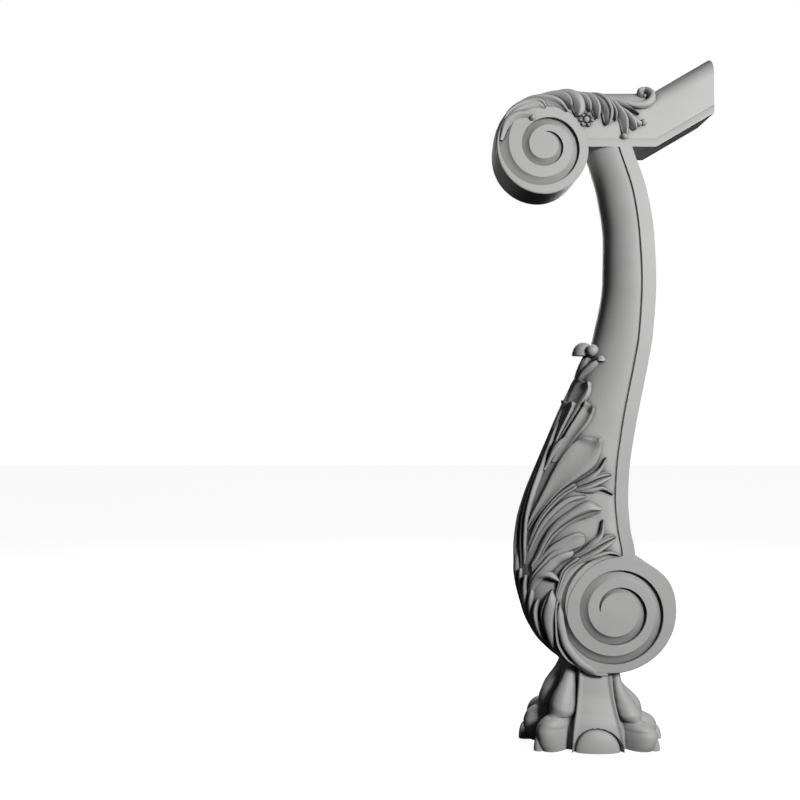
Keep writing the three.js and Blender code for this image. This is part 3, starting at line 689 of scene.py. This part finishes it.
# Handrail with its top scroll
# A length of crowned rail with a moulded band along its foot. It runs level from the scroll to a knee
# and then rises with the stair; acanthus lies over the scroll's crown, with a small flower.
rail_width = 0.080
rail_height = 0.087
rail_crown = 0.030
rail_band = 0.0123
band_proud = 0.0015
rail_run = 0.0843
rail_slope = math.radians(30.3)
knee_out = 0.0887
top_scroll_radius = 0.070
top_centre = (-0.0713, rail_underside + 0.0016)
rail_top = rail_underside + rail_height
rail_body = rail_width / 2 - band_proud
swell = 0.0045
top_eye_radius = 0.0212
top_channel_growth = 1.94
top_channel_depth = 0.0060
top_channel_turns = 1.9

# The top scroll's outline, and that of the crowned back which runs over it: degrees up from the rail
# side, and the radius as a share of the scroll's.
top_disc_shares = eased([
    (0, 0.88), (45, 0.86), (90, 0.82), (120, 0.95), (150, 1.03), (180, 1.02), (225, 1.01),
    (270, 1), (315, 0.94), (360, 0.88),
])
back_share_at_top = 1.222
top_back_shares = eased([
    (90, back_share_at_top), (105, 1.175), (127, 1.135), (143, 1.107), (180, 1.03), (200, 1.0),
])


def top_disc_radius(degrees):
    return top_scroll_radius * top_disc_shares(degrees, 1)


def top_back_radius(degrees):
    """Radius of the crowned back, drawn in towards the top so that it meets the rail's crest."""
    meets = (rail_top - top_centre[1]) / top_scroll_radius / back_share_at_top
    near = np.clip((143 - degrees) / 53, 0, None)
    return top_scroll_radius * top_back_shares(degrees, 1) * (1 + (meets - 1) * near * near)


def rise_at(x):
    """How far the rail has risen past its knee."""
    return np.clip(x - knee_out, 0, None) * math.tan(rail_slope)


def crest_at(x):
    """Height of the rail's crest, which swells a little between the scroll and the post."""
    along = np.clip((x - top_centre[0]) / -top_centre[0], 0, 1)
    return rail_top + swell * np.sin(along * math.pi) + rise_at(x)


def crown_round(degrees):
    """Depth of the crown's rounding over the scroll, which dies away down its back."""
    return np.clip(rail_crown * np.minimum(1, (178 - degrees) / 88), 0.001, None)


def top_surface(x, z, face):
    """Points on the rail's side and crown from their place in the side view."""
    x, z = np.broadcast_arrays(x, z)
    dx, dz = x - top_centre[0], z - top_centre[1]
    degrees = np.degrees(np.arctan2(dz, dx)) % 360
    over = x > top_centre[0]
    depth = np.where(over, crest_at(x) - z, top_back_radius(degrees) - np.hypot(dx, dz))
    crown = np.where(over, rail_crown, crown_round(degrees))
    share = np.clip(1 - np.clip(depth, 0, None) / crown, 0, 0.995)
    return np.stack([x, face * rail_body * np.sqrt(1 - share**2), z], axis=-1)


def crown_quarter(top, crown):
    """Half of the crown from the rail's side up to its middle, as pairs of half width and height."""
    points = 14
    turns = [k / points * math.pi / 2 for k in range(points)]
    return [(rail_body * math.cos(turn), top - crown + crown * math.sin(turn)) for turn in turns]


def rail_section(x):
    """A plumb section of the rail: the band along its foot with its eased edge, the side, the crown."""
    low = rail_underside + rise_at(x)
    high = crest_at(x)
    half = [
        (rail_width / 2, 0),
        (rail_width / 2, rail_band - 0.0022),
        (rail_width / 2 - 0.0004, rail_band - 0.0014),
        (rail_body, rail_band),
    ] + crown_quarter(high - low, rail_crown)
    side = [(x, -y, low + z) for y, z in half]
    return side + [(x, 0, high)] + [(x, y, low + z) for y, z in half[::-1]]


def crowned_back():
    """The rail's crown carried on over the scroll and down its back."""
    rings = []
    for degrees in np.linspace(200, 90, 45):
        angle = math.radians(degrees)
        radius = float(top_back_radius(degrees))
        crown = float(crown_round(degrees))
        inside_disc = 0.012
        half = [(rail_body, inside_disc)] + crown_quarter(radius, crown)
        whole = [(-y, r) for y, r in half] + [(0, radius)] + [(y, r) for y, r in half[::-1]]
        out, up = math.cos(angle), math.sin(angle)
        rings.append([(top_centre[0] + r * out, y, top_centre[1] + r * up) for y, r in whole])
    return closed_skin("crowned_back", rings)


stations = np.concatenate([[top_centre[0] - 0.002], np.linspace(-0.066, 0.0, 24),
                           [0.03, 0.06, knee_out - 0.0001, knee_out, knee_out + rail_run]])
rail = closed_skin("handrail_volute_carved", [rail_section(float(x)) for x in stations])
top_disc = scroll_disc("top_disc", top_centre, rail_width / 2, top_disc_radius)
rail = joined(rail, [crowned_back(), top_disc], "UNION")


def top_channel_edges(turn):
    """Inner and outer radius of the top scroll's channel, which widens in its second turn."""
    outer = top_eye_radius * top_channel_growth**turn
    width = 0.0110 + 0.0035 * np.clip((turn - 1.4) / 0.35, 0, 1)
    return outer - width * opened(turn), outer


top_channels = [
    spiral_channel(top_centre, face, rail_width / 2, top_channel_depth, top_channel_edges, top_channel_turns,
                   begins=0)
    for face in BOTH_FACES
]
rail = joined(rail, top_channels, "DIFFERENCE")

# The lobes of one side, from root to tip: side-view X, and height over the rail's underside.
crown_lobes = [
    ([(-0.136, 0.010), (-0.129, 0.031), (-0.116, 0.043), (-0.102, 0.046), (-0.092, 0.042)],
     dict(width=0.013, thick=0.007, crest=-0.3)),
    ([(-0.134, 0.028), (-0.122, 0.047), (-0.103, 0.058), (-0.083, 0.062), (-0.072, 0.056)],
     dict(width=0.017, crest=-0.3, furrows=(-0.1,))),
    ([(-0.120, 0.056), (-0.096, 0.068), (-0.072, 0.068), (-0.053, 0.062), (-0.041, 0.050)],
     dict(width=0.014, crest=-0.4, furrows=(0.1,))),
    ([(-0.085, 0.077), (-0.056, 0.075), (-0.041, 0.067), (-0.035, 0.055)],
     dict(width=0.012, thick=0.010, crest=-0.4)),
    ([(-0.066, 0.080), (-0.043, 0.077), (-0.029, 0.067), (-0.024, 0.055), (-0.026, 0.043)],
     dict(width=0.021, thick=0.012, crest=-0.1, lift=0.003)),
    ([(-0.045, 0.081), (-0.022, 0.072), (-0.012, 0.062), (-0.008, 0.050)],
     dict(width=0.012, thick=0.010, crest=-0.4)),
    ([(-0.030, 0.081), (-0.009, 0.070), (0.001, 0.056), (0.002, 0.040)],
     dict(width=0.014, thick=0.011, crest=-0.4, lift=0.002)),
    ([(-0.016, 0.079), (0.004, 0.069), (0.017, 0.053), (0.017, 0.031)],
     dict(width=0.018, thick=0.012, crest=-0.3, lift=0.004, furrows=(-0.2,))),
    ([(0.000, 0.077), (0.017, 0.065), (0.027, 0.052), (0.029, 0.037)],
     dict(width=0.009, thick=0.009, crest=-0.3)),
    ([(0.012, 0.074), (0.029, 0.058), (0.041, 0.039), (0.043, 0.016)],
     dict(width=0.013, thick=0.010, crest=-0.4, lift=0.003)),
    ([(0.025, 0.062), (0.039, 0.051), (0.051, 0.038), (0.058, 0.024)],
     dict(width=0.013, thick=0.010, crest=-0.3, lift=0.003)),
    ([(0.036, 0.055), (0.052, 0.042), (0.062, 0.034), (0.068, 0.034)], dict(width=0.009, thick=0.008)),
    ([(0.019, 0.066), (0.036, 0.060), (0.051, 0.053), (0.063, 0.046)],
     dict(width=0.010, thick=0.010, root=0.8, round_from=0.3, point=True, crest=-0.5)),
    ([(-0.010, 0.079), (0.029, 0.068), (0.058, 0.060), (0.076, 0.062), (0.084, 0.073), (0.078, 0.083),
      (0.068, 0.080), (0.070, 0.073)], dict(width=0.012, root=0.6, thick=0.010, round_from=0.7, steps=70)),
]


def over_rail(route):
    return [(x, z + rail_underside) for x, z in route]


# Balls at three of the tips and in the leaf's curl.
tip_balls = ((0.042, 0.015), (0.070, 0.035), (-0.091, 0.042))
tip_ball = (0.0048, 0.0085, 0.0048)
curl_ball = (0.004, 0.008, 0.004)
curl_ball_inset = 0.012
crown_leaf = []
for face in BOTH_FACES:
    crown_leaf += [leaf_lobe(top_surface, face, over_rail(route), **look) for route, look in crown_lobes]
    for x, z in tip_balls:
        crown_leaf.append(knob((x, face * rail_body, rail_underside + z), tip_ball))
    curl_out = face * (rail_body - curl_ball_inset)
    crown_leaf.append(knob((0.074, curl_out, rail_underside + 0.076), curl_ball))

# The flower over the scroll's shoulder: one petal, repeated round a button by a node tree.
petals = 6
flower_out = -0.0130
flower_rise = 0.039
button = (0.0047, 0.005, 0.0047)
button_proud = 0.002


def level_ground(a, b, face):
    """The flat ground that the one petal is carved on, with the flower's middle at its origin."""
    return np.stack(np.broadcast_arrays(a, face * 0.0 * a, b), axis=-1)


petal = leaf_lobe(level_ground, NEAR, [(0.0042, 0.0), (0.0075, 0.0), (0.0112, 0.0)], width=0.0066,
                  thick=0.0075, root=0.6, round_from=0.5, cup=0.45, steps=14)


def petal_ring():
    """Node tree: a given petal repeated evenly round the Y axis."""
    tree = bpy.data.node_groups.new("petal_ring", "GeometryNodeTree")
    tree.interface.new_socket("Geometry", in_out="INPUT", socket_type="NodeSocketGeometry")
    tree.interface.new_socket("Petals", in_out="INPUT", socket_type="NodeSocketInt")
    tree.interface.new_socket("Paint", in_out="INPUT", socket_type="NodeSocketMaterial")
    tree.interface.new_socket("Geometry", in_out="OUTPUT", socket_type="NodeSocketGeometry")
    node = tree.nodes.new
    link = tree.links.new
    given = node("NodeGroupInput")
    result = node("NodeGroupOutput")
    points = node("GeometryNodePoints")
    index = node("GeometryNodeInputIndex")
    share = node("ShaderNodeMath")
    share.operation = "DIVIDE"
    angle = node("ShaderNodeMath")
    angle.operation = "MULTIPLY"
    angle.inputs[1].default_value = 2 * math.pi
    turned = node("ShaderNodeCombineXYZ")
    spread = node("GeometryNodeInstanceOnPoints")
    real = node("GeometryNodeRealizeInstances")
    paint = node("GeometryNodeSetMaterial")
    link(given.outputs["Petals"], points.inputs["Count"])
    link(index.outputs[0], share.inputs[0])
    link(given.outputs["Petals"], share.inputs[1])
    link(share.outputs[0], angle.inputs[0])
    link(angle.outputs[0], turned.inputs["Y"])
    link(points.outputs[0], spread.inputs["Points"])
    link(given.outputs["Geometry"], spread.inputs["Instance"])
    link(turned.outputs[0], spread.inputs["Rotation"])
    link(spread.outputs[0], real.inputs[0])
    link(real.outputs[0], paint.inputs["Geometry"])
    link(given.outputs["Paint"], paint.inputs["Material"])
    link(paint.outputs[0], result.inputs[0])
    return tree


rail_paint = painted("rail_paint", 0.2)
ring_tree = petal_ring()
ring = petal.modifiers.new("petal_ring", "NODES")
ring.node_group = ring_tree
for item in ring_tree.interface.items_tree:
    if item.in_out == "INPUT" and item.name == "Petals":
        ring[item.identifier] = petals
    if item.in_out == "INPUT" and item.name == "Paint":
        ring[item.identifier] = rail_paint
flower_mesh = bpy.data.meshes.new_from_object(petal.evaluated_get(bpy.context.evaluated_depsgraph_get()))
petal.modifiers.remove(ring)
bpy.data.objects.remove(petal)
for face in BOTH_FACES:
    flower = bpy.data.objects.new("flower", flower_mesh.copy())
    scene.collection.objects.link(flower)
    for vertex in flower.data.vertices:
        x, y, z = vertex.co
        vertex.co = (x + flower_out, face * (rail_body - y), z + rail_underside + flower_rise)
    if face == FAR:
        flower.data.flip_normals()
    crown_leaf.append(flower)
    middle = (flower_out, face * (rail_body + button_proud), rail_underside + flower_rise)
    crown_leaf.append(knob(middle, button))
rail = joined(rail, crown_leaf, "UNION")
smooth_but_for_edges(rail)
rail.data.materials.clear()
rail.data.materials.append(rail_paint)
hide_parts("handrail_volute")
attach(rail, "root")

# Lion-paw foot
# One block under the scroll: a waisted leg with a panel between two ribs on each face, and toes with
# knuckle, pad and claw at the corners and ends.
foot_height = 0.122
foot_half_length = 0.106
foot_half_depth = 0.068
claw_radii = (0.006996, 0.0063, 0.02074)
panel_rib = 0.0028
panel_rib_out = 0.002
panel_rib_half_width = 0.0022
panel_bow = 0.0018
seat_gap = 0.0006
foot_columns = 600
foot_rows = 130
# Leg and panel by share of the foot's height: half length and half depth, as shares of the foot's.
core_line = eased([
    (0, 0.60, 0.79), (0.16, 0.60, 0.80), (0.4, 0.54, 0.73), (0.62, 0.46, 0.63), (0.8, 0.40, 0.55),
    (1, 0.39, 0.52),
])
panel_line = eased([
    (0, 0.31, 0.9), (0.16, 0.3, 0.9), (0.3, 0.28, 0.87), (0.46, 0.24, 0.78), (0.68, 0.2, 0.66),
    (1, 0.165, 0.57),
])

# The foot is one skin of rings; reach is how far out each point of them lies from the middle.
turn = np.arange(foot_columns) / foot_columns * 2 * math.pi
level = np.linspace(0, 1, foot_rows) * foot_height
turns, levels = np.meshgrid(turn, level)
cos, sin = np.cos(turns), np.sin(turns)
share = levels / foot_height


def reach_of_ball(centre, radii):
    """How far out along each direction from the middle of the foot a ball reaches, and 0 past it."""
    inside = 1 - ((levels - centre[2]) / radii[2]) ** 2
    a = (cos / radii[0]) ** 2 + (sin / radii[1]) ** 2
    b = cos * centre[0] / radii[0] ** 2 + sin * centre[1] / radii[1] ** 2
    c = (centre[0] / radii[0]) ** 2 + (centre[1] / radii[1]) ** 2 - inside
    under = b * b - a * c
    return np.where((under > 0) & (inside > 0), np.maximum(0, b + np.sqrt(np.abs(under))) / a, 0)


core = ((np.abs(cos) / (foot_half_length * core_line(share, 1))) ** 3
        + (np.abs(sin) / (foot_half_depth * core_line(share, 2))) ** 3) ** (-1 / 3)
panel_half = foot_half_length * panel_line(share, 1)
panel_out = foot_half_depth * panel_line(share, 2)
to_face = np.maximum(np.abs(sin), 1e-3)
to_panel = panel_out / to_face
across_panel = np.abs(to_panel * cos)
rib = np.exp(-(((across_panel - panel_half - panel_rib_out) / panel_rib_half_width) ** 2)) * panel_rib
bow = panel_bow * np.clip(1 - (across_panel / panel_half) ** 2, 0, 1)
past_rib = panel_half + 0.005
panel = np.where(across_panel < past_rib, to_panel + (rib + bow) / np.maximum(np.abs(sin), 0.1), 0)

# A low arched lobe stands before the foot of each panel.
arch = (across_panel / (foot_half_length * 0.335)) ** 2 + (levels / (foot_height * 0.295)) ** 2
lobe = foot_half_depth * (0.80 + 0.20 * np.sqrt(np.clip(1 - arch, 0, 1))) / to_face
reach = np.where((arch < 1) & (np.abs(sin) > 0.5), lobe, np.maximum(core, panel))

# Toes by height in metres: how far each reaches from the middle, and its half width in degrees.
corner_toe = eased([
    (0.000, 0.096, 13), (0.010, 0.101, 14), (0.022, 0.103, 14.5), (0.033, 0.099, 14), (0.040, 0.091, 12),
    (0.043, 0.083, 11), (0.047, 0.081, 15), (0.054, 0.081, 17), (0.064, 0.077, 17), (0.074, 0.070, 15),
    (0.086, 0.060, 13), (0.100, 0.052, 10), (0.122, 0.047, 8),
])
side_toe = eased([
    (0.000, 0.091, 13), (0.010, 0.097, 14), (0.022, 0.099, 14.5), (0.033, 0.095, 14), (0.040, 0.086, 12),
    (0.043, 0.079, 11), (0.047, 0.077, 16), (0.054, 0.076, 18), (0.064, 0.072, 18), (0.074, 0.064, 16),
    (0.086, 0.052, 13), (0.100, 0.043, 10), (0.122, 0.040, 8),
])
bare = reach
degrees = np.degrees(turns)
# A toe stands so many degrees away from the end of the foot, at its pad and up at its knuckle.
for line, at_pad, at_knuckle in ((side_toe, 0, 0), (corner_toe, 35, 41)):
    away = at_pad + (at_knuckle - at_pad) * np.clip((levels - 0.030) / 0.025, 0, 1)
    for end in (0, 180):
        for sense in (-1, 1):
            from_middle = (degrees - (end + sense * away) + 180) % 360 - 180
            across = np.clip(1 - (from_middle / line(levels, 2)) ** 2, 0, 1) ** 0.55
            toe = bare + np.clip(line(levels, 1) - bare, 0, None) * across
            reach = np.maximum(reach, toe)

# Claws under the corner toes and the end toe, by share of the foot's half length and half depth.
for face in BOTH_FACES:
    for end in (-1, 1):
        for x, y in ((0.79, 0.75), (0.935, 0.0)):
            centre = (end * foot_half_length * x, face * foot_half_depth * y, 0)
            reach = np.maximum(reach, reach_of_ball(centre, claw_radii))

# The rings are drawn up or down so that the top one seats under the round of the low scroll.
top_x = reach[-1] * np.cos(turn)
seat = low_centre[1] - np.sqrt(low_scroll_radius**2 - (top_x - low_centre[0]) ** 2) - seat_gap
heights = share * seat[None, :]
foot = closed_skin("paw_foot_carved", np.stack([reach * cos, reach * sin, heights], axis=-1))
smooth_but_for_edges(foot, 40)
foot.data.materials.append(painted("foot_paint", 0.2))
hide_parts("paw_foot")
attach(foot, "root")
